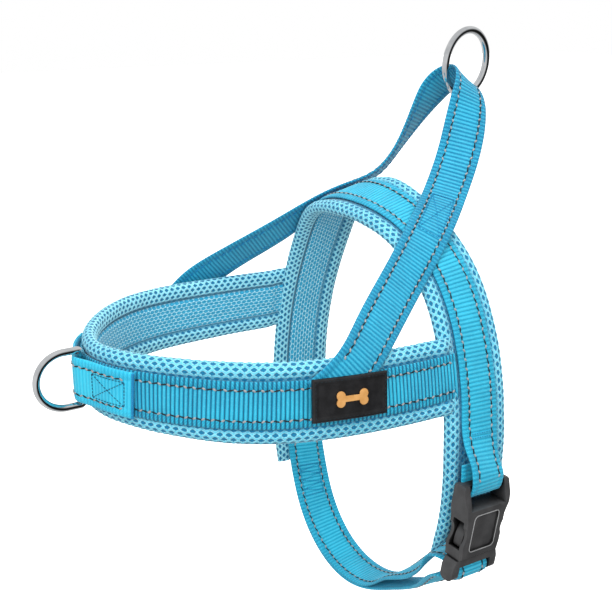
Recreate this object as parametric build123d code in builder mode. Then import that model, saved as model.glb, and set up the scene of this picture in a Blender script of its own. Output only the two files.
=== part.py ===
"""No-pull dog harness, worn shape: +X towards the dog's tail, -Y the dog's left side, +Z up.

The origin is the middle of the torso opening, level with the chest band. Millimetres.
"""

import math
import os

from build123d import *

# Webbing and padding
WEBBING = 25.0
WEBBING_THICK = 2.0
PAD_WIDTH = 43.0
FOAM_WIDTH = 38.0
MESH_THICK = 1.2
FOAM_THICK = 3.4
SEAM = 0.2

# Depths below the outer face of the sewn webbing
COVER_TOP = -WEBBING_THICK - SEAM
COVER_BOTTOM = COVER_TOP - MESH_THICK
FOAM_TOP = COVER_BOTTOM - SEAM
FOAM_BOTTOM = FOAM_TOP - FOAM_THICK
LINING_TOP = FOAM_BOTTOM - SEAM
LINING_BOTTOM = LINING_TOP - MESH_THICK

PAD_LAYERS = [
    ("cover", PAD_WIDTH, COVER_BOTTOM, COVER_TOP),
    ("foam", FOAM_WIDTH, FOAM_BOTTOM, FOAM_TOP),
    ("lining", PAD_WIDTH, LINING_BOTTOM, LINING_TOP),
]
NOSE_PINCH = 4.0
# Cuts that end the girth pad: one slant on the dog's left, a slant and a level tip on the right
PAD_CUTS = [
    Plane(origin=(5, -84, -103.8), z_dir=(-0.4, 0.09, 1)),
    Plane(origin=(5, 84, -118), z_dir=(-0.5, 0, 1)),
    Plane(origin=(5, 84, -126), z_dir=(0, 0, 1)),
]

# Metal rings
RING_WIRE = 4.4
RING_INNER = 17.0
RING_CENTRE = (64.6, -1.0, 157.0)
RING_TURN = 10.5
DEE_WIRE = 4.0
DEE_HALF = 15.5
DEE_REACH = 25.0
DEE_BAR = (-189.5, 0, 4.0)

# Label
LABEL_LENGTH = 42.5
LABEL_HEIGHT = 22.5
LABEL_THICK = 1.6
LABEL_CENTRE = (-82.8, -95.4, 2.6)

# Side release buckle, in its own frame: X across, Y towards the dog, Z up to the strap slot
BUCKLE = Plane(
    origin=(-0.5, -111.4, -85.8), x_dir=(0.988, 0.116, -0.099), z_dir=(0.108, -0.075, 0.991))
BUCKLE_DEPTH = 12.0
SOCKET_HALF = 16.4
EAR_HALF = 18.5
SLOT_HALF = 14.2
SOCKET_TOP = 23.0
SLOT_TOP = 18.6
SLOT_FLOOR = 9.5
MOUTH = -21.7
CAVITY_HALF = 14.4
CAVITY_FRONT = 2.0
CAVITY_BACK = 10.0
WINDOW_LOW = -15.0
WINDOW_HIGH = 2.5
PLUG_TOP = -22.1
PLUG_END = -35.5
PLUG_SHELF = -26.8
ARM_INNER = 12.9
ARM_OUTER = 18.2
PLUG_BAR = (6.5, -32.5)
PLUG_BAR_RADIUS = 1.9
LOOP_CUT = 14.8
BODY_GAP = 0.5
PRONG_FRONT = 3.0
PRONG_BACK = 9.0

# Each strap is a route of (point on its outer face, direction that face looks) pairs.
CHEST_HALF = [
    ((-187, 0, 3), (-1, 0, 0)),
    ((-165, -49, 3), (-0.74, -0.67, 0.05)),
    ((-122, -81, 1), (-0.38, -0.92, 0.10)),
    ((-68, -92, -1), (-0.06, -0.99, 0.15)),
    ((-8.8, -92, -2), (0.03, -0.98, 0.20)),
]
GIRTH_HALF = [
    ((-8, 0, 86), (-0.37, 0, 0.93)),
    ((-3, -41, 75), (-0.10, -0.50, 0.85)),
    ((4, -69, 48), (0.03, -0.80, 0.60)),
    ((5, -92, -2), (0.02, -0.96, 0.28)),
    ((4.5, -96, -20), (0.01, -0.98, 0.15)),
]
PAD_NEAR_END = [
    ((4.5, -98, -47), (0, -1, 0.04)),
    ((5, -95, -91), (0.03, -0.99, -0.08)),
    ((5, -84, -124), (0.05, -0.93, -0.34)),
]
PAD_FAR_END = [
    ((3, 98, -47), (0, 1, 0.04)),
    ((2, 96, -91), (0.05, 0.99, -0.08)),
    ((3, 86, -140), (0.15, 0.94, -0.28)),
]
WEBBING_NEAR_END = [
    ((4, -98, -34), (0, -1, 0.08)),
    ((3, -103, -47), (0.05, -0.94, -0.30)),
    ((1.8, -109.9, -59.6), (0.10, -0.99, -0.10)),
]
HANDLE_HALF = [
    ((61.5, 0, 149.4), (0.64, 0, 0.77)),
    ((58.5, -11.5, 146), (0.40, -0.62, 0.68)),
    ((49.5, -22, 129.5), (-0.20, -0.87, 0.45)),
    ((35, -30, 102), (-0.57, -0.68, 0.47)),
    ((25, -35, 89), (-0.42, -0.62, 0.66)),
    ((9, -46.6, 78.5), (-0.12, -0.56, 0.82)),
    ((-24, -65, 54.5), (0.02, -0.78, 0.62)),
    ((-59, -84, 31), (0, -0.88, 0.47)),
    ((-79, -92.6, 16), (-0.08, -0.97, 0.20)),
    ((-97, -90.2, 2), (-0.18, -0.97, 0.12)),
]
TAB_HALF = [
    ((-194.4, 0, 3.8), (-1, 0, 0)),
    ((-191.8, -7.5, 3.8), (-0.88, -0.47, 0)),
    ((-186, -22, 3.6), (-0.91, -0.42, 0)),
    ((-177, -37.5, 3), (-0.82, -0.57, 0.04)),
]
BELLY_RUN = [
    ((1, 84.5, -82), (0.10, 0.99, -0.02)),
    ((-0.5, 81.5, -106), (0.20, 0.96, -0.12)),
    ((-2, 73, -128), (0.40, 0.80, -0.43)),
    ((-3, 58, -154), (0.36, 0.68, -0.62)),
    ((-2, 36, -174), (0.24, 0.45, -0.86)),
    ((-1, 10, -180.5), (0.14, 0.05, -0.98)),
    ((0, -14, -176), (0.06, -0.30, -0.95)),
]
BELLY_OUTER_END = [
    ((0, -42, -162), (0, -0.50, -0.86)),
    ((-3, -72, -142), (-0.08, -0.58, -0.80)),
    ((-6.9, -96, -124.7), (-0.10, -0.50, -0.85)),
]
BELLY_INNER_END = [
    ((0, -32, -163), (0, -0.62, -0.78)),
    ((-1, -58, -141), (0.40, -0.60, -0.68)),
    ((-5.4, -97, -113), (0.02, -0.30, -0.95)),
]


def far_side(route):
    """The same stations on the dog's right side."""
    return [((x, -y, z), (a, -b, c)) for (x, y, z), (a, b, c) in route]


def band(near, far):
    """One route that runs from the far end, over the shared middle station, to the near end."""
    return list(reversed(far[1:])) + near


def knots(route):
    """Spline parameters spaced by the distance between stations."""
    steps = [0.0]
    for (first, _), (second, _) in zip(route, route[1:]):
        steps.append(steps[-1] + math.dist(first, second))
    return [step / steps[-1] for step in steps]


def section_plane(route, places, spline, place, depth):
    """Plane across a strap: X runs over its width and Y looks out of its outer face."""
    index = 0
    while index < len(places) - 2 and place > places[index + 1]:
        index += 1
    share = (place - places[index]) / (places[index + 1] - places[index])
    before = Vector(*route[index][1])
    after = Vector(*route[index + 1][1])
    facing = before * (1 - share) + after * share
    along = spline.tangent_at(place)
    across = facing.cross(along).normalized()
    outward = along.cross(across).normalized()
    return Plane(origin=spline.position_at(place) + outward * depth, x_dir=across, z_dir=along)


def strip(route, width, low, high, start=0.0, end=1.0, count=19, pinch=0.0, reach=0.06):
    """Closed strap between two depths below its route; pinch narrows it near the middle."""
    places = knots(route)
    spline = Edge.make_spline([Vector(*point) for point, _ in route], parameters=places)
    with BuildPart() as piece:
        for step in range(count):
            place = start + (end - start) * step / (count - 1)
            narrowing = pinch * max(0.0, 1 - abs(place - 0.5) / reach)
            with BuildSketch(section_plane(route, places, spline, place, (low + high) / 2)):
                Rectangle(width - narrowing, high - low)
        loft()
    return piece


def fold(points, radius):
    """Webbing folded round a buckle bar: a path in the buckle's side view, made 25 mm wide."""
    with BuildPart() as piece:
        with BuildSketch(Plane.YZ):
            with BuildLine():
                FilletPolyline(*points, radius=radius)
            trace(line_width=WEBBING_THICK)
        extrude(amount=WEBBING / 2, both=True)
    return piece


def finish(piece, label, plane=None):
    """Name a piece, place it if it was drawn in the buckle's frame, and write it."""
    part = piece.part if plane is None else piece.part.moved(plane.location)
    part.label = label
    export_step(part, f"parts/{label}.step")


# --- Padded bands -------------------------------------------------------------------------

def chest_band():
    route = band(CHEST_HALF, far_side(CHEST_HALF))
    pad_end = 0.020
    finish(strip(route, WEBBING, -WEBBING_THICK, 0, count=21), "chest_webbing")
    for label, width, low, high in PAD_LAYERS:
        layer = strip(route, width, low, high, pad_end, 1 - pad_end, pinch=NOSE_PINCH, reach=0.2)
        finish(layer, f"chest_pad_{label}")


def girth_band():
    pad = band(GIRTH_HALF + PAD_NEAR_END, far_side(GIRTH_HALF) + PAD_FAR_END)
    for label, width, low, high in PAD_LAYERS:
        with BuildPart() as layer:
            add(strip(pad, width, low, high, count=25).part)
            with Locations(*[cut.offset(-30) for cut in PAD_CUTS]):
                Box(80, 60, 60, mode=Mode.SUBTRACT)
        finish(layer, f"girth_pad_{label}")
    webbing = band(GIRTH_HALF + WEBBING_NEAR_END, far_side(GIRTH_HALF) + PAD_FAR_END)
    finish(strip(webbing, WEBBING, -WEBBING_THICK, 0, 0.06, 0.99, count=25), "girth_webbing")


def handle():
    route = band(HANDLE_HALF, far_side(HANDLE_HALF))
    finish(strip(route, WEBBING, -WEBBING_THICK, 0, count=41, pinch=4.5), "handle_strap")


def belly():
    """Two layers of one strap, both cut where the fold on the plug takes over."""
    cut = Plane(origin=BUCKLE.from_local_coords((0, LOOP_CUT + BODY_GAP, 0)), z_dir=BUCKLE.y_dir)
    layers = [
        ("belly_strap", BELLY_OUTER_END, 0.1),
        ("belly_strap_return", BELLY_INNER_END, -0.1 - WEBBING_THICK),
    ]
    for label, end, low in layers:
        with BuildPart() as layer:
            add(strip(BELLY_RUN + end, WEBBING, low, low + WEBBING_THICK, count=21).part)
            split(bisect_by=cut, keep=Keep.TOP)
        finish(layer, label)


# --- Label --------------------------------------------------------------------------------

def label_patch():
    plane = Plane(origin=LABEL_CENTRE, x_dir=(1, -0.12, -0.04), z_dir=(-0.12, -0.98, 0.12))
    with BuildPart() as patch:
        with BuildSketch(plane):
            RectangleRounded(LABEL_LENGTH, LABEL_HEIGHT, 2)
        extrude(amount=LABEL_THICK)
    finish(patch, "label_patch")
    with BuildPart() as emblem:
        with BuildSketch(plane.offset(LABEL_THICK + 0.05)):
            Rectangle(12, 3)
            with GridLocations(13, 3.6, 2, 2):
                Circle(2.4)
        extrude(amount=0.6)
    finish(emblem, "label_emblem")


# --- Metal rings --------------------------------------------------------------------------

def leash_ring():
    turn = math.radians(RING_TURN)
    facing = (math.sin(turn), -math.cos(turn), -0.07)
    plane = Plane(origin=RING_CENTRE, z_dir=facing)
    middle = RING_INNER + RING_WIRE / 2
    with BuildPart() as ring:
        with BuildSketch(Plane(origin=plane.origin, x_dir=plane.x_dir, z_dir=plane.y_dir)):
            with Locations((middle, 0)):
                Circle(RING_WIRE / 2)
        revolve(axis=Axis(plane.origin, plane.z_dir))
    finish(ring, "leash_ring")


def chest_ring():
    x, y, z = DEE_BAR
    centre = x - DEE_REACH + DEE_HALF
    corner = 2.5
    with BuildPart() as ring:
        with BuildLine():
            top = Line((x - corner, y, z + DEE_HALF), (centre, y, z + DEE_HALF))
            bottom = Line((centre, y, z - DEE_HALF), (x - corner, y, z - DEE_HALF))
            ThreePointArc(top @ 1, (x - DEE_REACH, y, z), bottom @ 0)
            bar = Line((x, y, z - DEE_HALF + corner), (x, y, z + DEE_HALF - corner))
            bend = corner * (1 - math.sqrt(0.5))
            ThreePointArc(bottom @ 1, (x - bend, y, z - DEE_HALF + bend), bar @ 0)
            ThreePointArc(bar @ 1, (x - bend, y, z + DEE_HALF - bend), top @ 0)
        with BuildSketch(Plane(origin=(x, y, z), z_dir=(0, 0, 1))):
            Circle(DEE_WIRE / 2)
        sweep()
    finish(ring, "chest_ring")


def chest_ring_tab():
    route = band(TAB_HALF, far_side(TAB_HALF))
    finish(strip(route, WEBBING, -WEBBING_THICK, 0, count=15), "chest_ring_tab")


# --- Side release buckle ------------------------------------------------------------------

def buckle_socket():
    depth = BUCKLE_DEPTH
    with BuildPart() as socket:
        with BuildSketch(Plane.XZ.offset(-depth)):
            with BuildLine():
                edge = Polyline(
                    (0, MOUTH), (SOCKET_HALF - 1, MOUTH), (SOCKET_HALF, WINDOW_LOW),
                    (SOCKET_HALF, WINDOW_HIGH), (EAR_HALF, 9), (EAR_HALF, SOCKET_TOP), (0, SOCKET_TOP),
                )
                mirror(edge, about=Plane.YZ)
            make_face()
        extrude(amount=depth)
        fillet(socket.edges().filter_by(Axis.Y).group_by(Axis.Z)[-1], 2)
        # The outer corners of the front and back faces are rounded off
        chamfer(socket.faces().sort_by(Axis.Y)[0].edges(), 1.2)
        # Strap slot, with the strap bar set back between two ears
        with Locations((0, depth / 2, (SLOT_FLOOR + SLOT_TOP) / 2)):
            Box(2 * SLOT_HALF, 2 * depth, SLOT_TOP - SLOT_FLOOR, mode=Mode.SUBTRACT)
        bar_front, bar_back = 5.6, 10.4
        with Locations((0, 0, SOCKET_TOP)):
            Box(2 * SLOT_HALF, 2 * bar_front, 2 * (SOCKET_TOP - SLOT_TOP) + 0.2, mode=Mode.SUBTRACT)
        with Locations((0, depth, SOCKET_TOP)):
            back = 2 * (depth - bar_back)
            Box(2 * SLOT_HALF, back, 2 * (SOCKET_TOP - SLOT_TOP) + 0.2, mode=Mode.SUBTRACT)
        # Ears slope back towards the top
        with BuildSketch(Plane.YZ):
            Polygon((-1, 8), (-1, SOCKET_TOP + 1), (5, SOCKET_TOP + 1), align=None)
        extrude(amount=EAR_HALF + 1, both=True, mode=Mode.SUBTRACT)
        # Cavity for the plug, open at the mouth
        cavity_top = WINDOW_HIGH + 1
        with Locations((0, (CAVITY_FRONT + CAVITY_BACK) / 2, (MOUTH + cavity_top) / 2 - 1)):
            Box(2 * CAVITY_HALF, CAVITY_BACK - CAVITY_FRONT, cavity_top - MOUTH + 2, mode=Mode.SUBTRACT)
        # Side windows and the thumb hollows of the front and back covers
        window = WINDOW_HIGH - WINDOW_LOW
        middle = (WINDOW_HIGH + WINDOW_LOW) / 2
        with Locations((EAR_HALF, depth / 2, middle), (-EAR_HALF, depth / 2, middle)):
            Box(2 * (EAR_HALF - CAVITY_HALF) + 0.2, CAVITY_BACK - CAVITY_FRONT, window, mode=Mode.SUBTRACT)
        with Locations((SOCKET_HALF + 6.5, depth / 2, middle), (-SOCKET_HALF - 6.5, depth / 2, middle)):
            Cylinder(window / 2, 2 * depth, rotation=(90, 0, 0), mode=Mode.SUBTRACT)
        # Sunk panel on the front
        with BuildSketch(Plane.XZ):
            with Locations((0, -5.5)):
                RectangleRounded(20, 22.5, 2.5)
        extrude(amount=-1.3, mode=Mode.SUBTRACT)
    finish(socket, "buckle_socket", BUCKLE)


def buckle_plug():
    front, back = 1.6, 10.6
    with BuildPart() as plug:
        with BuildSketch(Plane.XZ.offset(-back)):
            with BuildLine():
                edge = Polyline(
                    (0, PLUG_TOP), (SOCKET_HALF, PLUG_TOP), (ARM_OUTER, PLUG_SHELF), (ARM_OUTER, PLUG_END),
                    (ARM_INNER, PLUG_END), (ARM_INNER, PLUG_SHELF), (0, PLUG_SHELF),
                )
                mirror(edge, about=Plane.YZ)
            make_face()
        extrude(amount=back - front)
        fillet(plug.edges().filter_by(Axis.X).group_by(Axis.Z)[0], 3.5)
        with Locations((0, *PLUG_BAR)):
            Cylinder(PLUG_BAR_RADIUS, 2 * ARM_INNER + 2, rotation=(0, 90, 0))
        # Guide rail that runs up the middle of the socket
        with Locations((0, 6, (PLUG_TOP + 1) / 2)):
            Box(4, 3, 1 - PLUG_TOP)
    finish(plug, "buckle_plug", BUCKLE)


def buckle_prong(side, label):
    """Sprung prong with a barbed head that shows in the socket's side window."""
    with BuildPart() as prong:
        with BuildSketch(Plane.XZ.offset(-PRONG_BACK)):
            with BuildLine():
                heel = Line((side * 8.4, PLUG_TOP + 0.35), (side * 11.4, PLUG_TOP + 0.35))
                neck = Line(heel @ 1, (side * 11.2, WINDOW_LOW + 0.6))
                barb = Line(neck @ 1, (side * 14.0, WINDOW_LOW + 0.6))
                head = Spline(barb @ 1, (side * 13.6, -8), (side * 11, -1.5), (side * 8, 2.2))
                Line(head @ 1, (side * 6.6, 0.5))
                Spline((side * 6.6, 0.5), (side * 9.6, -7), (side * 9.2, -15), heel @ 0)
            make_face()
        extrude(amount=PRONG_BACK - PRONG_FRONT)
    finish(prong, label, BUCKLE)


def strap_folds():
    socket_path = [(4.3, 25.6), (4.3, 16.2), (12.4, 16.2), (12.7, 25), (15.6, 35)]
    finish(fold(socket_path, 3), "socket_strap_loop", BUCKLE)
    plug_path = [(LOOP_CUT, -40.0), (3.0, -35.8), (3.0, -28.9), (LOOP_CUT, -29.0)]
    finish(fold(plug_path, 3), "plug_strap_loop", BUCKLE)


os.makedirs("parts", exist_ok=True)
chest_band()
girth_band()
handle()
belly()
label_patch()
leash_ring()
chest_ring()
chest_ring_tab()
buckle_socket()
buckle_plug()
buckle_prong(-1, "buckle_prong_front")
buckle_prong(1, "buckle_prong_rear")
strap_folds()
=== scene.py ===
"""No pull dog harness: the looks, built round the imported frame.

Metres in Blender, +X towards the dog's tail, -Y the dog's left side, +Z up.
The routes and sizes below are in millimetres and are scaled once, when a mesh is made.
"""

import math

import bmesh
import bpy
import numpy as np
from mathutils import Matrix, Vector


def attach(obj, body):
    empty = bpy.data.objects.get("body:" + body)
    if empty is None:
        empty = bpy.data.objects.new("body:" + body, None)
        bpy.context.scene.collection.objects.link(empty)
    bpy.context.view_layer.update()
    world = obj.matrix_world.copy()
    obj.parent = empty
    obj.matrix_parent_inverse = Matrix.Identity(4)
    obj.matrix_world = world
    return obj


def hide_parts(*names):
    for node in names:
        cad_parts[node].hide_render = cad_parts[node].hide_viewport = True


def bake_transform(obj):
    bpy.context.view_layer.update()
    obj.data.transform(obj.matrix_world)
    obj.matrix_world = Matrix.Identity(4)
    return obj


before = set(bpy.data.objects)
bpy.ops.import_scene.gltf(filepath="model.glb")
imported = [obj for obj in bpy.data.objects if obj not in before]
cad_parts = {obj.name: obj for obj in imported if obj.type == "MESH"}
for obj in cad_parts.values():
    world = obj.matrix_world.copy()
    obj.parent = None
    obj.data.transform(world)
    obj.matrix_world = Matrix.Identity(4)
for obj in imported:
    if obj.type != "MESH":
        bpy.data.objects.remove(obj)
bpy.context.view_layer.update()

MM = 0.001

# Webbing
WEBBING = 25.0
WEBBING_THICK = 2.0
RIB_PITCH = 2.35
RIB_DEPTH = 0.5
RIB_DEPTH_FINE = 0.3
YARN_PITCH = 0.62
# Pitches across and along of the twill on the ribs and of the knit on the selvages
TWILL = (0.7, 0.9)
SELVAGE_KNIT = (1.7, 1.5)
# Distances from the strap's middle to its selvages and to its stitch rows
SELVAGE = 8.0
STITCH_ROW = 8.0
STITCH_PITCH = 4.9
STITCH_LEAN = 0.22
BOX_HALF = 6.6

# Padding, as depths below the outer face of the sewn webbing
PAD_HALF = 21.5
PAD_TOP = -2.3
PAD_BOTTOM = -8.4
PAD_MIDDLE = (PAD_TOP + PAD_BOTTOM) / 2
PAD_LOOP_ROWS = 36
# Lengths over which a pad thins to its ends and cuts, and the share of its thickness left there
PAD_END_ROUND = 7.0
PAD_CUT_ROUND = 8.0
PAD_END_FULL = 0.35
# Share of the thickness by which the foam swells
SWELL = 0.0875
# Holes of the mesh, as the pitch along, the rows across, half sizes and depth
HOLE_PITCH = 4.7
HOLE_ROW = 2.6
HOLE_LONG = 1.85
HOLE_WIDE = 1.22
HOLE_DEPTH = 0.6
# The inner face of a pad, between its seams, is a finer mesh
FINE_HALF = 10.4
FINE_RATE = 1.18
# Cuts that end the girth pad: (point, normal) on the dog's left and right
PAD_CUTS = (
    ((5, -84, -103.8), (-0.4, 0.09, 1)), ((5, 84, -118), (-0.5, 0, 1)), ((5, 84, -126), (0, 0, 1)))

# Buckle frame: X across, Y towards the dog, Z up to the strap slot
BUCKLE_ORIGIN = (-0.5, -111.4, -85.8)
BUCKLE_ACROSS = (0.988, 0.116, -0.099)
BUCKLE_UP = (0.108, -0.075, 0.991)

# Label
LABEL_CENTRE = (-82.8, -95.4, 2.6)
LABEL_OUT = (-0.12, -0.98, 0.12)
LABEL_LENGTH = 42.5
LABEL_HEIGHT = 22.5
LABEL_STITCH_INSET = 1.5

# Pale bead round the socket's sunk panel, a painted highlight on its edge, in the buckle's frame
RIM_HALF_ACROSS = 10.2
RIM_HALF_UP = 11.45
RIM_CORNER = 2.7
RIM_MIDDLE = -5.5
RIM_RADIUS = 0.32

# Soft edges of the parts kept from the frame
EDGE_ROUND = 0.7
EDGE_ANGLE = math.radians(35)
WELD_GAP = 0.01

# Camera, in millimetres and degrees
CAMERA_TARGET = (-50, 0, 20)
CAMERA_AZIMUTH = -32.0
CAMERA_ELEVATION = 17.5
CAMERA_DISTANCE = 602.0
CAMERA_LENS = 59.6
# Brightness of the world from below and from above, and the direction the metal sees dark
AMBIENT = (0.62, 0.72)
DARK_SIDE = (0.60, -0.72, -0.34)
# Soft boxes in metres: (name, place, target, size, watts)
SOFT_BOXES = (
    ("key", (-1.1, -0.6, 0.9), (-0.05, 0, 0), (0.6, 0.6), 4.5),
    ("fill", (-0.6, -1.0, 0.55), (-0.05, 0.05, -0.03), (0.9, 0.6), 9),
    ("top", (0.1, 0.1, 1.3), (-0.05, 0, 0), (0.8, 0.8), 2.2),
    ("inside", (-0.05, -0.15, 0.6), (-0.05, 0.1, -0.05), (0.3, 0.3), 1.2),
    ("back", (0.7, 0.7, 0.4), (-0.05, 0, 0), (0.5, 0.5), 3),
)
FLOOR_HALF = 6.0
FLOOR_LEVEL = -0.32
FLOOR_GLOW = 0.85

# --- Routes: (point on the outer face, direction that face looks) --------------------------

CHEST_HALF = [
    ((-187, 0, 3), (-1, 0, 0)),
    ((-165, -49, 3), (-0.74, -0.67, 0.05)),
    ((-122, -81, 1), (-0.38, -0.92, 0.10)),
    ((-68, -92, -1), (-0.06, -0.99, 0.15)),
    ((-8.8, -92, -2), (0.03, -0.98, 0.20)),
]
GIRTH_HALF = [
    ((-8, 0, 86), (-0.37, 0, 0.93)),
    ((-3, -41, 75), (-0.10, -0.50, 0.85)),
    ((4, -69, 48), (0.03, -0.80, 0.60)),
    ((5, -92, -2), (0.02, -0.96, 0.28)),
    ((4.5, -96, -20), (0.01, -0.98, 0.15)),
]
PAD_NEAR_END = [
    ((4.5, -98, -47), (0, -1, 0.04)),
    ((5, -95, -91), (0.03, -0.99, -0.08)),
    ((5, -84, -124), (0.05, -0.93, -0.34)),
]
PAD_FAR_END = [
    ((3, 98, -47), (0, 1, 0.04)),
    ((2, 96, -91), (0.05, 0.99, -0.08)),
    ((3, 86, -140), (0.15, 0.94, -0.28)),
]
WEBBING_NEAR_END = [
    ((4, -98, -34), (0, -1, 0.08)),
    ((3, -103, -47), (0.05, -0.94, -0.30)),
    ((1.8, -109.9, -59.6), (0.10, -0.99, -0.10)),
]
HANDLE_HALF = [
    ((61.5, 0, 149.4), (0.64, 0, 0.77)),
    ((58.5, -11.5, 146), (0.40, -0.62, 0.68)),
    ((49.5, -22, 129.5), (-0.20, -0.87, 0.45)),
    ((35, -30, 102), (-0.57, -0.68, 0.47)),
    ((25, -35, 89), (-0.42, -0.62, 0.66)),
    ((9, -46.6, 78.5), (-0.12, -0.56, 0.82)),
    ((-24, -65, 54.5), (0.02, -0.78, 0.62)),
    ((-59, -84, 31), (0, -0.88, 0.47)),
    ((-79, -92.6, 16), (-0.08, -0.97, 0.20)),
    ((-97, -90.2, 2), (-0.18, -0.97, 0.12)),
]
TAB_HALF = [
    ((-194.4, 0, 3.8), (-1, 0, 0)),
    ((-191.8, -7.5, 3.8), (-0.88, -0.47, 0)),
    ((-186, -22, 3.6), (-0.91, -0.42, 0)),
    ((-177, -37.5, 3), (-0.82, -0.57, 0.04)),
]
BELLY_RUN = [
    ((1, 84.5, -82), (0.10, 0.99, -0.02)),
    ((-0.5, 81.5, -106), (0.20, 0.96, -0.12)),
    ((-2, 73, -128), (0.40, 0.80, -0.43)),
    ((-3, 58, -154), (0.36, 0.68, -0.62)),
    ((-2, 36, -174), (0.24, 0.45, -0.86)),
    ((-1, 10, -180.5), (0.14, 0.05, -0.98)),
    ((0, -14, -176), (0.06, -0.30, -0.95)),
]
BELLY_OUTER_END = [
    ((0, -42, -162), (0, -0.50, -0.86)),
    ((-3, -72, -142), (-0.08, -0.58, -0.80)),
]
BELLY_INNER_END = [
    ((0, -32, -163), (0, -0.62, -0.78)),
    ((-1, -58, -141), (0.40, -0.60, -0.68)),
]
# Folds in the buckle's side view: (y, z) on the outer face, (y, z) that the face looks
SOCKET_FOLD = [
    ((3.3, 20), (-1, 0)),
    ((4.6, 16.4), (-0.75, -0.66)),
    ((8.3, 14.9), (0, -1)),
    ((12.2, 16.6), (0.75, -0.66)),
    ((13.5, 22), (1, -0.05)),
    ((15.2, 31), (0.97, -0.22)),
]
PLUG_FOLD = [
    ((14.5, -41.0), (-0.33, -0.94)),
    ((7.5, -38.5), (-0.33, -0.94)),
    ((3.2, -36.2), (-0.75, -0.66)),
    ((2.0, -32.4), (-1, 0)),
    ((3.3, -28.9), (-0.72, 0.70)),
    ((7.5, -27.9), (0, 1)),
    ((14.8, -28.1), (0, 1)),
]


def far_side(route):
    """The same stations on the dog's right side."""
    return [((x, -y, z), (a, -b, c)) for (x, y, z), (a, b, c) in route]


def band(near, far):
    """One route from the far end, over the shared middle station, to the near end."""
    return list(reversed(far[1:])) + near


def buckle_axes():
    """Origin and the three axes of the buckle's frame, in millimetres."""
    across = np.array(BUCKLE_ACROSS) / np.linalg.norm(BUCKLE_ACROSS)
    up = np.array(BUCKLE_UP) / np.linalg.norm(BUCKLE_UP)
    inward = np.cross(up, across)
    return np.array(BUCKLE_ORIGIN, float), across, inward / np.linalg.norm(inward), up


def fold_stations(fold):
    """A fold's stations, from the buckle's side view to the row frame."""
    origin, _, inward, up = buckle_axes()
    stations = []
    for (y, z), (look_y, look_z) in fold:
        stations.append((tuple(origin + inward * y + up * z), tuple(inward * look_y + up * look_z)))
    return stations


def shifted(route, depth, flip=False):
    """The route moved along its facing, and turned over if flip is set."""
    sign = -1 if flip else 1
    moved = []
    for point, facing in route:
        look = np.array(facing, float) / np.linalg.norm(facing)
        moved.append((tuple(np.array(point, float) + look * depth), tuple(look * sign)))
    return list(reversed(moved)) if flip else moved


def curve_through(values, places):
    """A function that gives the smooth curve through values at places."""
    values = np.asarray(values, float)
    places = np.asarray(places, float)
    steps = np.diff(places)
    slopes = np.diff(values, axis=0) / steps[:, None]
    count = len(places)
    system = np.eye(count)
    right = np.zeros_like(values)
    right[0] = slopes[0] - steps[0] * (slopes[1] - slopes[0]) / (steps[0] + steps[1])
    right[-1] = slopes[-1] + steps[-1] * (slopes[-1] - slopes[-2]) / (steps[-1] + steps[-2])
    for i in range(1, count - 1):
        system[i, i - 1:i + 2] = steps[i], 2 * (steps[i - 1] + steps[i]), steps[i - 1]
        right[i] = 3 * (steps[i] * slopes[i - 1] + steps[i - 1] * slopes[i])
    tangents = np.linalg.solve(system, right)

    def at(where):
        """The curve's values at where."""
        where = np.atleast_1d(where)
        k = np.clip(np.searchsorted(places, where) - 1, 0, count - 2)
        h = steps[k][:, None]
        t = ((where - places[k]) / steps[k])[:, None]
        first = (1 + 2 * t) * (1 - t) ** 2 * values[k] + t * (1 - t) ** 2 * h * tangents[k]
        second = t * t * (3 - 2 * t) * values[k + 1] + t * t * (t - 1) * h * tangents[k + 1]
        return first + second

    return at


def unit(vectors):
    """The vectors at a length of one."""
    return vectors / np.linalg.norm(vectors, axis=-1, keepdims=True)


def smooth(low, high, x):
    """0 below low, 1 above high, and a soft step between."""
    t = np.clip((x - low) / (high - low), 0, 1)
    return t * t * (3 - 2 * t)


class Route:
    """A strap's line: points and directions at a distance along it, in millimetres."""

    def __init__(self, stations):
        points = np.array([point for point, _ in stations], float)
        facings = unit(np.array([facing for _, facing in stations], float))
        chords = np.linalg.norm(np.diff(points, axis=0), axis=1)
        places = np.concatenate([[0], np.cumsum(chords)])
        self.point_at = curve_through(points, places)
        self.facing_at = curve_through(facings, places)
        self.fine = np.linspace(0, places[-1], 3000)
        walked = np.linalg.norm(np.diff(self.point_at(self.fine), axis=0), axis=1)
        self.run = np.concatenate([[0], np.cumsum(walked)])
        self.length = self.run[-1]

    def near(self, point):
        """Distance along the route that comes closest to a point."""
        gaps = np.linalg.norm(self.point_at(self.fine) - np.array(point, float), axis=1)
        return self.run[gaps.argmin()]

    def axes(self, along):
        """Point, tangent, across and outward directions at distances along the route."""
        where = np.interp(along, self.run, self.fine)
        step = 0.25
        point = self.point_at(where)
        tangent = unit(self.point_at(where + step) - self.point_at(where - step))
        across = unit(np.cross(self.facing_at(where), tangent))
        return point, tangent, across, np.cross(tangent, across)

    def place(self, along, across, lift):
        """Points at (along, across, lift), which are arrays of one shape."""
        along, across, lift = np.broadcast_arrays(along, across, lift)
        point, _, side, out = self.axes(along.ravel())
        spots = point + side * across.ravel()[:, None] + out * lift.ravel()[:, None]
        return spots.reshape(along.shape + (3,))


# --- Mesh helpers -------------------------------------------------------------------------

def new_piece(name, points, faces, material=None, body="harness"):
    """A mesh object from points in millimetres."""
    mesh = bpy.data.meshes.new(name)
    mesh.from_pydata((np.asarray(points, float).reshape(-1, 3) * MM).tolist(), [], faces)
    mesh.update()
    mesh.polygons.foreach_set("use_smooth", [True] * len(mesh.polygons))
    piece = bpy.data.objects.new(name, mesh)
    bpy.context.scene.collection.objects.link(piece)
    if material:
        mesh.materials.append(material)
    if body:
        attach(piece, body)
    return piece


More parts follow.
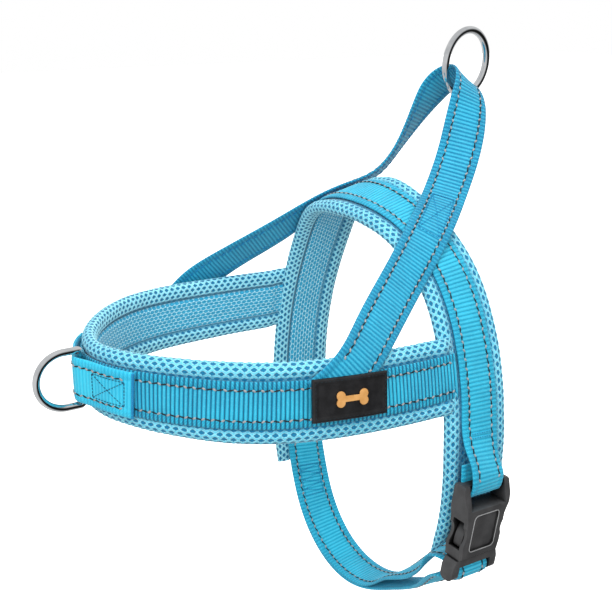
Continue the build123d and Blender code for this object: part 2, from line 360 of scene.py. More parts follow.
def give_attribute(piece, name, vectors):
    """A vector on each vertex, which the materials read."""
    layer = piece.data.attributes.new(name, "FLOAT_VECTOR", "POINT")
    layer.data.foreach_set("vector", np.asarray(vectors, np.float32).ravel())


def tube_faces(rows, loop):
    """Quads of a tube of closed loops, and its two end caps."""
    faces = []
    for i in range(rows - 1):
        for j in range(loop):
            k = (j + 1) % loop
            faces.append((i * loop + j, i * loop + k, (i + 1) * loop + k, (i + 1) * loop + j))
    faces.append(tuple(range(loop - 1, -1, -1)))
    faces.append(tuple((rows - 1) * loop + j for j in range(loop)))
    return faces


def faces_outward(piece):
    """Turns every face to look out of the closed mesh."""
    shape = bmesh.new()
    shape.from_mesh(piece.data)
    bmesh.ops.recalc_face_normals(shape, faces=shape.faces)
    shape.to_mesh(piece.data)
    shape.free()


def cut_below(piece, point, normal):
    """On the side of the dog that point is on, cuts away what lies behind a plane."""
    shape = bmesh.new()
    shape.from_mesh(piece.data)
    verts = [v for v in shape.verts if v.co.y * point[1] > 0]
    chosen = set(verts)
    edges = [e for e in shape.edges if chosen.issuperset(e.verts)]
    faces = [f for f in shape.faces if chosen.issuperset(f.verts)]
    cut = bmesh.ops.bisect_plane(
        shape, geom=verts + edges + faces, dist=1e-7, plane_co=Vector(point) * MM,
        plane_no=Vector(normal), clear_inner=True)
    edges = [e for e in cut["geom_cut"] if isinstance(e, bmesh.types.BMEdge)]
    bmesh.ops.holes_fill(shape, edges=edges, sides=0)
    shape.to_mesh(piece.data)
    shape.free()


# --- Materials ----------------------------------------------------------------------------

def linear(code):
    """A hex colour as linear RGBA."""
    parts = [int(code[i:i + 2], 16) / 255 for i in (0, 2, 4)]
    return tuple(c / 12.92 if c <= 0.04045 else ((c + 0.055) / 1.055) ** 2.4 for c in parts) + (1,)


class Look:
    """A node material with short ways to make its nodes."""

    def __init__(self, name, roughness=0.5, **settings):
        self.material = bpy.data.materials.new(name)
        self.material.use_nodes = True
        self.tree = self.material.node_tree
        self.shader = self.tree.nodes["Principled BSDF"]
        self.shader.inputs["Roughness"].default_value = roughness
        for key, value in settings.items():
            self.shader.inputs[key.replace("_", " ")].default_value = value

    def node(self, kind, **settings):
        """A node of a kind, with its settings."""
        made = self.tree.nodes.new("ShaderNode" + kind)
        for key, value in settings.items():
            setattr(made, key, value)
        return made

    def feed(self, socket, value):
        """Links an output to a socket, or sets its value."""
        if isinstance(value, bpy.types.NodeSocket):
            self.tree.links.new(value, socket)
        elif value is not None:
            socket.default_value = value

    def math(self, operation, first, second=None):
        """The result of an operation on outputs or numbers."""
        made = self.node("Math", operation=operation)
        self.feed(made.inputs[0], first)
        self.feed(made.inputs[1], second)
        return made.outputs[0]

    def wave(self, *terms):
        """The sine of a sum of turns. Each term is a value and its pitch."""
        turns = [self.math("MULTIPLY", value, 2 * math.pi / pitch) for value, pitch in terms]
        total = turns[0]
        for turn in turns[1:]:
            total = self.math("ADD", total, turn)
        return self.math("SINE", total)

    def step(self, value, low, high, to_low=0.0, to_high=1.0):
        """A soft step of value from low to high."""
        made = self.node("MapRange", interpolation_type="SMOOTHSTEP")
        for socket, entry in zip(made.inputs, (value, low, high, to_low, to_high)):
            self.feed(socket, entry)
        return made.outputs[0]

    def mix(self, share, first, second):
        """first where share is 0, second where it is 1."""
        made = self.node("Mix", data_type="RGBA")
        self.feed(made.inputs["Factor"], share)
        self.feed(made.inputs[6], first)
        self.feed(made.inputs[7], second)
        return made.outputs[2]

    def attribute(self, name):
        """The three numbers of an attribute."""
        source = self.node("Attribute", attribute_name=name)
        parts = self.node("SeparateXYZ")
        self.feed(parts.inputs[0], source.outputs["Vector"])
        return parts.outputs

    def noise(self, scale, detail=2.0):
        """Object space noise, at scale cells in a metre."""
        made = self.node("TexNoise")
        self.feed(made.inputs["Vector"], self.node("TexCoord").outputs["Object"])
        made.inputs["Scale"].default_value = scale
        made.inputs["Detail"].default_value = detail
        return made.outputs["Fac"]

    def colour(self, value):
        """Sets or links the base colour."""
        self.feed(self.shader.inputs["Base Color"], value)

    def rough(self, value):
        """Links the roughness."""
        self.feed(self.shader.inputs["Roughness"], value)

    def bump(self, height, strength, distance):
        """Small relief, distance high in metres."""
        made = self.node("Bump")
        made.inputs["Strength"].default_value = strength
        made.inputs["Distance"].default_value = distance
        self.feed(made.inputs["Height"], height)
        self.feed(self.shader.inputs["Normal"], made.outputs[0])


def webbing_look(name="webbing", rib="12A9CD", groove_shade="04496A", shade="0C93B9",
                 bright="5AD2EA", floor=0.12):
    """Ribbed nylon: a painted highlight on the rib crowns, a fine yarn on each, and painted shade in the
    grooves, which a lower floor makes paler.
    """
    look = Look(name, roughness=0.55, Sheen_Weight=0.12, Sheen_Roughness=0.5, Specular_IOR_Level=0.35)
    across, along, relief = look.attribute("weave")
    yarn = look.wave((across, YARN_PITCH))
    twill = look.wave((across, TWILL[0]), (along, TWILL[1]))
    wear = look.noise(60, 3)
    base = look.mix(look.step(wear, 0.35, 0.7), linear(shade), linear(rib))
    # Painted highlight on the crowns of the ribs, broken by the yarn
    crown_highlight = look.step(relief, 0.7, 1.0, 0.0, 0.45)
    crown_highlight = look.math("MULTIPLY", crown_highlight, look.step(yarn, -1.0, 0.8, 0.45, 1.0))
    base = look.mix(crown_highlight, base, linear(bright))
    fleck = look.step(look.noise(1400, 2), 0.45, 0.8, 0.0, 0.3)
    base = look.mix(fleck, base, linear(bright))
    # Diagonal knit of the selvages, its hollows darkened with the grooves' painted shade colour
    edge = look.math("ABSOLUTE", across)
    slant = look.wave((edge, SELVAGE_KNIT[0]), (along, SELVAGE_KNIT[1]))
    selvage = look.step(edge, SELVAGE + 0.4, SELVAGE + 1.0)
    knit = look.step(slant, -0.7, 0.8, 0.3, 0.0)
    base = look.mix(look.math("MULTIPLY", selvage, knit), base, linear(groove_shade))
    # Painted shade in the grooves between the ribs
    look.colour(look.mix(look.step(relief, floor, floor + 0.62), linear(groove_shade), base))
    look.rough(look.step(look.noise(300), 0.3, 0.7, 0.45, 0.65))
    height = look.math("ADD", look.math("MULTIPLY", yarn, 0.5), look.math("MULTIPLY", twill, 0.35))
    height = look.math("ADD", height, look.math("MULTIPLY", look.noise(2500, 2), 0.8))
    look.bump(height, 0.5, 0.00008)
    return look.material


def mesh_look():
    """Knitted spacer mesh: a pale net with staggered diamond holes, painted shade in the holes and along
    the creases, a painted highlight round the holes, and the inner face painted lighter.
    """
    look = Look("spacer_mesh", roughness=0.62, Sheen_Weight=0.2, Sheen_Roughness=0.45,
                Specular_IOR_Level=0.3)
    along, across, seam_shade = look.attribute("net")
    inner, fine, _ = look.attribute("face")
    row = look.math("ROUND", across)
    phase = look.math("MULTIPLY", look.math("MODULO", look.math("ABSOLUTE", row), 2.0), 0.5)
    x = look.math("SUBTRACT", look.math("FRACT", look.math("ADD", along, phase)), 0.5)
    y = look.math("SUBTRACT", across, row)
    far_x = look.math("MULTIPLY", look.math("ABSOLUTE", x), HOLE_PITCH / HOLE_LONG)
    far_y = look.math("MULTIPLY", look.math("ABSOLUTE", y), HOLE_ROW / HOLE_WIDE)
    # Between an ellipse and a diamond
    reach = look.math("ADD", look.math("POWER", far_x, 1.35), look.math("POWER", far_y, 1.35))
    shape = look.math("MULTIPLY", look.math("POWER", reach, 0.74), look.step(fine, 0.0, 1.0, 1.0, 0.7))
    ragged = look.math("MULTIPLY", look.math("SUBTRACT", look.noise(1300, 2), 0.5), 0.8)
    shape = look.math("ADD", shape, ragged)
    hole = look.step(shape, 0.72, 1.08, 1.0, 0.0)
    # Painted highlight: the net painted paler round each hole
    rim = look.step(shape, 1.0, 1.5, 1.0, 0.0)
    tone = look.mix(look.step(look.noise(35, 3), 0.3, 0.75), linear("6ACAE0"), linear("52B8D4"))
    tone = look.mix(look.math("MULTIPLY", rim, 0.6), tone, linear("B0ECF6"))
    threads = look.step(look.noise(2200, 2), 0.4, 0.75, 0.0, 0.45)
    tone = look.mix(threads, tone, linear("4FB0D4"))
    # Painted light: the inner face, and more so its fine panel, painted lighter for the light that falls
    # on the lining
    tone = look.mix(look.math("MULTIPLY", inner, 0.5), tone, linear("ACF0FC"))
    tone = look.mix(look.math("MULTIPLY", fine, 0.8), tone, linear("C4F6FF"))
    # Painted shade in the holes: dark in the coarse mesh, paler and mottled in the fine
    shallow = look.mix(look.step(look.noise(900, 2), 0.35, 0.75), linear("2898C0"), linear("3CB4DC"))
    depths = look.mix(fine, linear("16729C"), shallow)
    tone = look.mix(hole, tone, depths)
    # Painted shade along the creases of the inner face and beside the webbing's edges
    look.colour(look.mix(look.math("MULTIPLY", seam_shade, 0.7), tone, linear("0F6E9A")))
    fuzz = look.math("MULTIPLY", look.noise(2200, 2), 0.35)
    look.bump(look.math("SUBTRACT", fuzz, hole), 0.8, 0.0005)
    return look.material


def thread_look(name, code, roughness=0.5):
    """Twisted thread, with lighter specks."""
    look = Look(name, roughness=roughness)
    speck = look.step(look.noise(2600, 2), 0.35, 0.75, 0.0, 0.45)
    lighter = tuple(min(1, c * 1.7) for c in linear(code))
    look.colour(look.mix(speck, linear(code), lighter))
    look.bump(look.noise(3000, 2), 0.4, 0.0001)
    return look.material


def plastic_look(name="moulded_plastic", dark="3C3C3D", light="484849"):
    """Matte charcoal acetal with a fine spark-eroded grain, and painted shade in its recesses."""
    look = Look(name, roughness=0.36, Specular_IOR_Level=0.28)
    mottle = look.step(look.noise(120, 3), 0.3, 0.75)
    body = look.mix(mottle, linear(dark), linear(light))
    # Painted shade: near black where the surface is closed in, in slots, windows and crevices
    recess_shade = look.node("AmbientOcclusion", samples=8)
    recess_shade.inputs["Distance"].default_value = 0.01
    look.colour(look.mix(look.step(recess_shade.outputs["AO"], 0.35, 0.9), linear("090909"), body))
    look.rough(look.step(look.noise(900, 2), 0.3, 0.7, 0.3, 0.44))
    look.bump(look.noise(5200, 3), 0.25, 0.00005)
    return look.material


def chrome_look():
    """Polished plated steel with faint handling marks."""
    look = Look("chrome", roughness=0.07, Metallic=1.0)
    smear = look.step(look.noise(90, 4), 0.4, 0.75)
    look.colour(look.mix(smear, linear("E2E4E6"), linear("C6C9CC")))
    look.rough(look.step(look.noise(240, 3), 0.45, 0.8, 0.05, 0.13))
    look.bump(look.noise(900, 3), 0.08, 0.00005)
    return look.material


def rubber_look(name, dark, light):
    """Matte moulded rubber."""
    look = Look(name, roughness=0.6)
    look.colour(look.mix(look.step(look.noise(200, 3), 0.35, 0.7), linear(dark), linear(light)))
    look.rough(look.step(look.noise(600), 0.3, 0.7, 0.5, 0.68))
    look.bump(look.noise(4200, 3), 0.3, 0.00006)
    return look.material


# Copies of one webbing at different brightness, standing in for the light on each strap: the handle's
# copy is darker, painted shade, and the girth and belly copy and the tab copy are lighter, painted light,
# with paler painted shade in their grooves
WEB = webbing_look()
SHADED_WEB = webbing_look("shaded_webbing", rib="0A90B6", groove_shade="086088", shade="0882A8", floor=-0.05)
MID_WEB = webbing_look("lighter_webbing", rib="1AAED0", groove_shade="0E789E", shade="149EC0", floor=-0.05)
TAB_WEB = webbing_look("tab_webbing", rib="2CC6E6", groove_shade="1496BC", shade="22B4D8", floor=-0.1)
NET = mesh_look()
DARK_THREAD = thread_look("dark_thread", "16242B")
PALE_THREAD = thread_look("reflective_thread", "8D9092", 0.35)
BLUE_THREAD = thread_look("blue_thread", "0D76A6")
NAVY_THREAD = thread_look("navy_thread", "0A3F5E")
PLASTIC = plastic_look()
# Pale grey plastic for the bead round the socket's panel: a painted highlight
PANEL_HIGHLIGHT_PLASTIC = plastic_look("panel_highlight_plastic", dark="8A8B8C", light="A0A1A2")
CHROME = chrome_look()
RUBBER = rubber_look("label_rubber", "131315", "1E1E20")
TAN = rubber_look("emblem_rubber", "C08A4A", "CF9B5C")


# --- Webbing ------------------------------------------------------------------------------

def rib_height(along, across):
    """Relief of the weave: round ribs, with staggered knots on the selvages."""
    turn = math.pi * along / RIB_PITCH
    ribs = np.abs(np.sin(turn)) ** 0.85
    knots = np.abs(np.sin(2 * turn + np.where(np.abs(across) > 10.2, math.pi / 2, 0)))
    selvage = smooth(SELVAGE - 0.4, SELVAGE + 0.4, np.abs(across))
    return ribs * (1 - 0.35 * selvage * (1 - knots))


def webbing_section():
    """Round the strap: positions across, and 1 on the outer face or -1 on the inner."""
    flat = [-11.9, -10.6, -9.4, -8.5, -8.0, -7.5, -3.7, 0, 3.7, 7.5, 8.0, 8.5, 9.4, 10.6, 11.9]
    section = [(u, 1) for u in flat]
    section += [(WEBBING / 2, 0.45), (WEBBING / 2, -0.45)]
    section += [(u, -1) for u in reversed(flat)]
    section += [(-WEBBING / 2, -0.45), (-WEBBING / 2, 0.45)]
    return np.array(section)


def webbing(name, route, start=0.0, end=None, depth=RIB_DEPTH, pinch=None, curl=None,
            wave=0.25, look=None, body="harness"):
    """A woven strap whose outer face lies on the route. pinch and curl are functions of distance."""
    end = route.length if end is None else end
    rows = int((end - start) / RIB_PITCH * 8)
    along = np.linspace(start, end, rows)[:, None]
    section = webbing_section()
    flat = section[None, :, 0]
    side = section[None, :, 1]
    relief = rib_height(along, flat)
    edge = 1 - 0.25 * smooth(10.5, WEBBING / 2, np.abs(flat))
    half = WEBBING_THICK / 2
    lift = -half + side * (half * edge - depth * (1 - relief) * (np.abs(side) > 0.9))
    # The stitch rows pull the webbing in
    lift = lift - side * 0.22 * np.exp(-((np.abs(flat) - STITCH_ROW) / 0.6) ** 2)
    share = flat / (WEBBING / 2)
    lift = lift + wave * np.sin(along / 17.0 + 0.8 * np.sin(along / 31.0)) * share
    if curl is not None:
        lift = lift + curl(along) * share ** 2
    across = flat if pinch is None else flat * (1 - pinch(along) / WEBBING)
    spots = route.place(along, across, lift)
    faces = tube_faces(rows, section.shape[0])
    piece = new_piece(name, spots, faces, look or WEB, body)
    weave = np.stack(np.broadcast_arrays(flat, along, relief), axis=-1)
    give_attribute(piece, "weave", weave)
    faces_outward(piece)
    return piece


def bead_shape(sides=6, rings=4):
    """A unit bead along X: points and faces."""
    points = [(-1, 0, 0)]
    for i in range(1, rings):
        turn = math.pi * i / rings
        for j in range(sides):
            angle = 2 * math.pi * j / sides
            reach = math.sin(turn)
            points.append((-math.cos(turn), reach * math.cos(angle), reach * math.sin(angle)))
    points.append((1, 0, 0))
    last = len(points) - 1
    faces = [(0, 1 + (j + 1) % sides, 1 + j) for j in range(sides)]
    for i in range(rings - 2):
        for j in range(sides):
            k = (j + 1) % sides
            low, high = 1 + i * sides, 1 + (i + 1) * sides
            faces.append((low + j, low + k, high + k, high + j))
    faces += [(last, last - sides + j, last - sides + (j + 1) % sides) for j in range(sides)]
    return np.array(points, float), faces


def beads(name, spots, material, body="harness"):
    """One mesh of stitches. Each spot is (centre, along, across, out, length, width, height)."""
    shape, faces = bead_shape()
    points, all_faces = [], []
    for centre, along, across, out, length, width, height in spots:
        base = len(points) * len(shape)
        points.append(centre + shape[:, :1] * along * length / 2 + shape[:, 1:2] * across * width / 2
                      + shape[:, 2:] * out * height / 2)
        all_faces += [tuple(base + i for i in face) for face in faces]
    piece = new_piece(name, np.concatenate(points), all_faces, material, body)
    faces_outward(piece)
    return piece


def row_stitches(route, start, end, lift, shift, lean, size):
    """Spots of one kind of stitch, on both rows. lean turns each stitch to its row's outer side."""
    spots = []
    for row, across_at in enumerate((-STITCH_ROW, STITCH_ROW)):
        angle = math.copysign(1, across_at) * lean
        for i in range(int((end - start) / STITCH_PITCH)):
            place = start + (i + 0.5 + 0.13 * math.sin(7.1 * i + row)) * STITCH_PITCH + shift
            point, tangent, side, out = route.axes(np.array([min(place, route.length)]))
            spot = point[0] + side[0] * across_at + out[0] * lift
            along = tangent[0] * math.cos(angle) + side[0] * math.sin(angle)
            across = side[0] * math.cos(angle) - tangent[0] * math.sin(angle)
            spots.append((spot, along, across, out[0], *size))
    return spots


def stitch_rows(name, route, start, end, lift=-0.02, knot=True, thread=None, body="harness"):
    """Two rows of thread with pale reflective knots."""
    run = (STITCH_PITCH * 0.8, 0.95, 0.85)
    dark = row_stitches(route, start, end, lift, 0.0, STITCH_LEAN, run)
    made = [beads(f"{name}_thread", dark, thread or DARK_THREAD, body)]
    if knot:
        knot_size = (STITCH_PITCH * 0.48, 1.3, 1.05)
        pale = row_stitches(route, start, end, lift, STITCH_PITCH / 2, -2.2 * STITCH_LEAN, knot_size)
        made.append(beads(f"{name}_knots", pale, PALE_THREAD, body))
    return made


def sewn_lines(name, route, lines, lift=0.12, pitch=2.4, material=None, size=(0.8, 0.55),
               body="harness"):
    """Running stitches along straight lines, given as (along, across) ends on a strap's face.

    size is a stitch's length as a share of the pitch, and its width in millimetres.
    """
    spots = []
    for (s0, u0), (s1, u1) in lines:
        count = max(1, round(math.dist((s0, u0), (s1, u1)) / pitch))
        for i in range(count):
            share = (i + 0.5) / count
            point, tangent, side, out = route.axes(np.array([s0 + (s1 - s0) * share]))
            centre = point[0] + side[0] * (u0 + (u1 - u0) * share) + out[0] * lift
            heading = unit(tangent[0] * (s1 - s0) + side[0] * (u1 - u0))
            over = np.cross(out[0], heading)
            spots.append((centre, heading, over, out[0], pitch * size[0], size[1], size[1]))
    return beads(name, spots, material or BLUE_THREAD, body)


def box_lines(start, end, cross=True):
    """The outline of a sewn box on a strap, with its diagonals."""
    corners = [(start, -BOX_HALF), (end, -BOX_HALF), (end, BOX_HALF), (start, BOX_HALF)]
    lines = [(corners[i], corners[(i + 1) % 4]) for i in range(4)]
    if cross:
        lines += [(corners[0], corners[2]), (corners[1], corners[3])]
    return lines


# --- Pads ---------------------------------------------------------------------------------

def pad_outline():
    """Half of the pad's section, (across, depth), from the outer face's middle to the inner's."""
    return [
        (0, PAD_TOP), (6, PAD_TOP), (11.5, PAD_TOP - 0.2), (13.0, -2.2), (15.8, -1.3), (18.8, -1.9),
        (21.0, -4.0), (21.2, -6.3), (19.2, -8.3), (15.8, -8.9), (12.6, -8.3), (11.0, -6.7),
        (9.8, -7.6), (6, -8.2), (0, -8.4),
    ]


def pad_section(count):
    """Evenly spaced points round the whole section."""
    half = pad_outline()
    loop = np.array(half + [(-u, d) for u, d in reversed(half[1:-1])], float)
    wrap = np.concatenate([loop[-3:], loop, loop[:4]])
    places = np.concatenate([[0], np.cumsum(np.linalg.norm(np.diff(wrap, axis=0), axis=1))])
    curve = curve_through(wrap, places)
    fine = np.linspace(places[3], places[3 + len(loop)], 2000)
    trail = curve(fine)
    walked = np.concatenate([[0], np.cumsum(np.linalg.norm(np.diff(trail, axis=0), axis=1))])
    spaced = np.interp(np.arange(count) / count * walked[-1], walked, fine)
    return curve(spaced)


def hole_mask(along, row):
    """1 inside a mesh hole and 0 on the net, from distances in hole pitches and rows."""
    nearest = np.round(row)
    x = (along + 0.5 * (nearest % 2)) % 1 - 0.5
    y = row - nearest
    far = np.hypot(x * HOLE_PITCH / HOLE_LONG, y * HOLE_ROW / HOLE_WIDE)
    return 1 - smooth(0.4, 1.25, far)


def outward_directions(section):
    """The direction out of the section at each of its points."""
    facing = section - np.array([0, PAD_MIDDLE])
    outward = np.roll(section, -1, axis=0) - np.roll(section, 1, axis=0)
    outward = np.stack([-outward[:, 1], outward[:, 0]], axis=1)
    return unit(outward * np.sign((outward * facing).sum(1, keepdims=True)))


def open_share(middle, from_end, cuts):
    """1 well inside the pad, falling to 0 at its ends and its cuts."""
    share = smooth(0, PAD_END_ROUND, from_end)
    for point, normal in cuts:
        behind = (middle - np.array(point, float)) @ unit(np.array(normal, float))
        near = middle[..., 1] * point[1] > 0
        share = np.minimum(share, np.where(near, smooth(-0.5, PAD_CUT_ROUND, behind), 1))
    return share


def pad(name, route, start, end, nodes, pinch=None, cuts=(), raised=0.0):
    """A mesh covered pad. pinch narrows it, cuts end it, raised lifts its ends over what lies there."""
    points_round = PAD_LOOP_ROWS * 3
    section = pad_section(points_round)
    rows = int((end - start) / HOLE_PITCH * 6)
    along = np.linspace(start, end, rows)[:, None]
    across = section[None, :, 0] * np.ones_like(along)
    depth = section[None, :, 1] * np.ones_like(along)
    if pinch is not None:
        across = across * (1 - pinch(along) / (2 * PAD_HALF))
    row = np.arange(points_round)[None, :] / 3.0
    # Slow swells of the foam, mostly outside the seams
    swell = np.sin(along / 7.3 + 1.7 * np.sin(along / 23.0)) * np.sin(along / 41.0 + across / 9.0)
    margin = smooth(12, 17, np.abs(across))
    fullness = 1 + SWELL * swell * margin
    from_end = np.minimum(along - start, end - along)
    share = open_share(route.place(along, across, PAD_MIDDLE), from_end, cuts)
    fullness = fullness * (PAD_END_FULL + (1 - PAD_END_FULL) * share)
    depth = PAD_MIDDLE + (depth - PAD_MIDDLE) * fullness
    fine = (np.abs(section[:, 0]) < FINE_HALF) & (section[:, 1] < PAD_MIDDLE)
    rate = np.where(fine, FINE_RATE, 1.0)[None, :]
    depth = depth + raised * smooth(16, 8, from_end)
    # The holes sink below the face
    holes = hole_mask(along / HOLE_PITCH, row) * share * ~fine[None, :]
    outward = outward_directions(section)
    sink = 0.25 - HOLE_DEPTH * holes
    across = across + outward[None, :, 0] * sink
    depth = depth + outward[None, :, 1] * sink
    spots = route.place(along, across, depth)
    piece = new_piece(name, spots, tube_faces(rows, points_round), NET)
    # Painted shade along the creases of the inner face and on the outer face beside the webbing's edges
    edge = np.abs(section[None, :, 0])
    seam_shade = smooth(9.9, 10.8, edge) * (1 - smooth(11.4, 12.6, edge)) * (section[None, :, 1] < PAD_MIDDLE)
    seam_shade = seam_shade + smooth(14.6, 13.2, edge) * (section[None, :, 1] > PAD_MIDDLE)
    net = np.stack(np.broadcast_arrays(along / HOLE_PITCH * rate, row * rate, seam_shade), axis=-1)
    give_attribute(piece, "net", net)
    inner = smooth(PAD_MIDDLE + 1.5, PAD_MIDDLE - 1.5, section[None, :, 1])
    face = np.stack(np.broadcast_arrays(inner, fine[None, :], 0 * along), axis=-1)
    give_attribute(piece, "face", face)
    for point, normal in cuts:
        cut_below(piece, point, normal)
    faces_outward(piece)
    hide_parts(*nodes)


# --- The harness --------------------------------------------------------------------------

def bell(middle, reach):
    """1 at middle, falling straight to 0 at reach on both sides."""
    return lambda along: np.clip(1 - np.abs(along - middle) / reach, 0, 1)


def chest_band():
    """The padded band round the neck and chest."""
    route = Route(band(CHEST_HALF, far_side(CHEST_HALF)))
    length = route.length
    nose = bell(length / 2, length * 0.2)
    nodes = ("chest_pad_cover", "chest_pad_foam", "chest_pad_lining")
    pad("chest_pad", route, 0.8, length - 0.8, nodes, pinch=lambda s: 4.0 * nose(s), raised=1.4)
    strap = webbing("chest_webbing_woven", route, 0.5, length - 0.5)
    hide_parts("chest_webbing")
    stitch_rows("chest_webbing", route, 6, length - 3)


def girth_band():
    """The padded band over the back, whose webbing folds round the buckle socket's bar."""
    pad_route = Route(band(GIRTH_HALF + PAD_NEAR_END, far_side(GIRTH_HALF) + PAD_FAR_END))
    nodes = ("girth_pad_cover", "girth_pad_foam", "girth_pad_lining")
    pad("girth_pad", pad_route, 0, pad_route.length, nodes, cuts=PAD_CUTS)
    near_end = WEBBING_NEAR_END + fold_stations(SOCKET_FOLD)
    route = Route(band(GIRTH_HALF + near_end, far_side(GIRTH_HALF) + PAD_FAR_END))
    start = route.near((2, 92, -110))
    strap = webbing("girth_webbing_woven", route, start, route.length, depth=RIB_DEPTH_FINE, look=MID_WEB)
    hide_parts("girth_webbing", "socket_strap_loop")
    bar = route.near(fold_stations(SOCKET_FOLD)[0][0])
    stitch_rows("girth_webbing", route, start + 2, bar - 4)
    tack = route.near((3.5, -99, -38))
    lines = [((tack + shift, -7), (tack + shift, 7)) for shift in (-1.2, 1.2)]
    sewn_lines("girth_cross_tack", route, lines, pitch=1.7)


def handle():
    """The top strap, narrowed and curled where it carries the leash ring."""
    route = Route(band(HANDLE_HALF, far_side(HANDLE_HALF)))
    crest = bell(route.length / 2, 26.0)
    strap = webbing(
        "handle_webbing", route, depth=RIB_DEPTH_FINE, look=SHADED_WEB,
        pinch=lambda s: 4.5 * crest(s), curl=lambda s: 1.2 * crest(s))
    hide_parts("handle_strap")
    stitch_rows("handle_webbing", route, 4, route.length - 20)
    below = {"lift": -WEBBING_THICK, "knot": False, "thread": BLUE_THREAD}
    stitch_rows("handle_underside", route, 4, route.length - 20, **below)
    crossing = route.near((9, -46.6, 78.5))
    sewn_lines("handle_box", route, box_lines(crossing - 15, crossing + 17))
    far_crossing = route.near((9, 46.6, 78.5))
    sewn_lines("handle_box_far", route, box_lines(far_crossing - 17, far_crossing + 15))


def belly():
    """One strap: down the dog's right side, round the plug's bar, and back inside itself."""
    outer = shifted(BELLY_RUN + BELLY_OUTER_END, 2.1)
    inner = shifted(BELLY_RUN + BELLY_INNER_END, -2.1, flip=True)
    route = Route(outer + fold_stations(PLUG_FOLD) + inner)
    strap = webbing("belly_webbing", route, depth=0.36, wave=0.1, look=MID_WEB, body=None)
    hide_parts("belly_strap", "belly_strap_return", "plug_strap_loop")
    pieces = [strap] + stitch_rows("belly_webbing", route, 2, route.length - 2, body=None)
    # A bartack of slanting lines in a box
    low = route.length - 66
    step = 3.2
    lines = [((low + step * i, -6.5), (low + step * (i + 1), 6.5)) for i in range(0, 6, 2)]
    lines += [((low + step * i, 6.5), (low + step * (i + 1), -6.5)) for i in range(1, 6, 2)]
    lines += box_lines(low - 1, low + 20, cross=False)
    pieces.append(sewn_lines("belly_bartack", route, lines, pitch=1.5, body=None))
    for piece in pieces:
        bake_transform(piece)


def ring_tab():
    """The sewn tab that holds the chest ring."""
    route = Route(band(TAB_HALF, far_side(TAB_HALF)))
    strap = webbing("ring_tab_webbing", route, depth=0.14, look=TAB_WEB)
    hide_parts("chest_ring_tab")
    stitch_rows("ring_tab", route, 3, route.length - 4)
    near = route.length
    box = {"material": NAVY_THREAD, "pitch": 2.0, "lift": 0.05}
    sewn_lines("ring_tab_box", route, box_lines(near - 27, near - 5), **box)
    sewn_lines("ring_tab_box_far", route, box_lines(5, 27), **box)
    # A dark blue roll of beads across the tab's near end: the folded end, with its dark colour painted
    # shade
    shaded_end = {"material": BLUE_THREAD, "pitch": 1.1, "lift": -0.5, "size": (1.8, 1.7)}
    sewn_lines("ring_tab_shaded_end", route, [((near - 0.2, -12.2), (near - 0.2, 12.2))], **shaded_end)


def label_plane():
    """Centre, along, up and outward directions of the label."""
    out = unit(np.array(LABEL_OUT))
    side = np.array([1, LABEL_OUT[0], -0.04])
    side = unit(side - out * (side @ out))
    return np.array(LABEL_CENTRE, float), side, np.cross(out, side), out


def label():
    """Moulded rubber patch with a raised rim."""
    centre, side, up, out = label_plane()
    columns, rows = 61, 35
    half_u, half_v = LABEL_LENGTH / 2, LABEL_HEIGHT / 2
    u = np.linspace(-half_u, half_u, columns)[None, :]
    v = np.linspace(-half_v, half_v, rows)[:, None]
    inset = np.minimum(half_u - np.abs(u), half_v - np.abs(v))
    height = 1.1 * smooth(-0.4, 0.9, inset) + 0.45 * (1 - smooth(1.9, 2.5, inset))
    height = height - 0.25 * np.exp(-((inset - LABEL_STITCH_INSET) / 0.35) ** 2)
    bow = -1.0 * (u / half_u) ** 2
    flat = centre + side * u[..., None] + up * v[..., None]
    top = flat + out * (height + bow)[..., None]
    low = flat + out * (bow - 0.6 + 0 * v)[..., None]
    points = np.concatenate([top.reshape(-1, 3), low.reshape(-1, 3)])
    faces = []
    count = columns * rows
    for i in range(rows - 1):
        for j in range(columns - 1):
            a = i * columns + j
            faces.append((a, a + 1, a + columns + 1, a + columns))
            faces.append((count + a, count + a + columns, count + a + columns + 1, count + a + 1))
    border = list(range(columns)) + [i * columns + columns - 1 for i in range(1, rows)]
    border += [(rows - 1) * columns + j for j in range(columns - 2, -1, -1)]
    border += [i * columns for i in range(rows - 2, 0, -1)]
    for a, b in zip(border, border[1:] + border[:1]):
        faces.append((a, a + count, b + count, b))
    patch = new_piece("label_rubber_patch", points, faces, RUBBER)
    faces_outward(patch)
    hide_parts("label_patch")


def label_stitches():
    """Dark thread round the label's rim."""
    centre, side, up, out = label_plane()
    half_u = LABEL_LENGTH / 2 - LABEL_STITCH_INSET
    half_v = LABEL_HEIGHT / 2 - LABEL_STITCH_INSET
    corners = [(-half_u, -half_v), (half_u, -half_v), (half_u, half_v), (-half_u, half_v)]
    spots = []
    for (u0, v0), (u1, v1) in zip(corners, corners[1:] + corners[:1]):
        count = round(math.dist((u0, v0), (u1, v1)) / 2.2)
        heading = unit(side * (u1 - u0) + up * (v1 - v0))
        for i in range(count):
            share = (i + 0.5) / count
            a, b = u0 + (u1 - u0) * share, v0 + (v1 - v0) * share
            spot = centre + side * a + up * b + out * (1.25 - (a / (LABEL_LENGTH / 2)) ** 2)
            spots.append((spot, heading, np.cross(out, heading), out, 1.6, 0.5, 0.5))
    beads("label_stitches", spots, DARK_THREAD)


